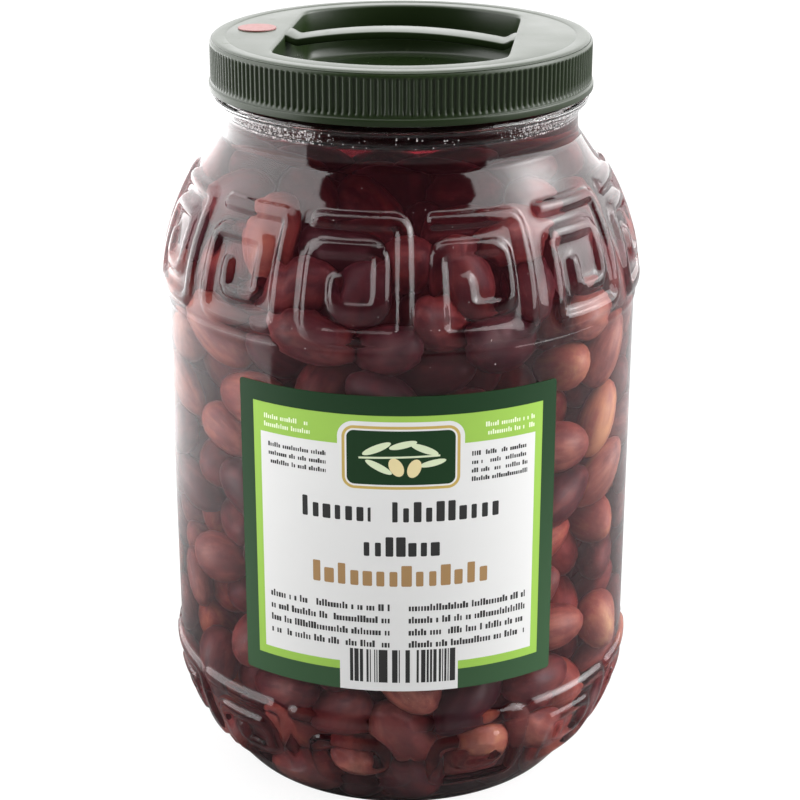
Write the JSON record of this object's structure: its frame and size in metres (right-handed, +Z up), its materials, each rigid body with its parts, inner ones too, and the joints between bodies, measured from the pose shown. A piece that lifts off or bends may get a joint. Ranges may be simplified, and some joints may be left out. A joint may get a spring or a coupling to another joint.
{
  "type": "jar of olives",
  "caption": "Large clear jar with raised square spirals round shoulder and heel, full of dark olives in brine, shut by a ribbed screw cap with a strap across its well.",
  "frame": {"origin": "the middle of the flat foot that the jar stands on, on the jar's axis", "axes": "+Z up along the jar's axis, and the paper label faces -Y"},
  "size_m": [0.1518, 0.1518, 0.2399],
  "materials": {
    "jar_wall": "clear, smooth",
    "cap_plastic": "satin moulded",
    "label_paper": "coated",
    "sticker_paper": "coated",
    "olive_skin": "wet"
  },
  "bodies": {
    "root": {"jar": "jar_wall", "lid": "cap_plastic", "label": "label_paper", "dot_sticker": "sticker_paper", "olives": "olive_skin"}
  },
  "joints": []
}
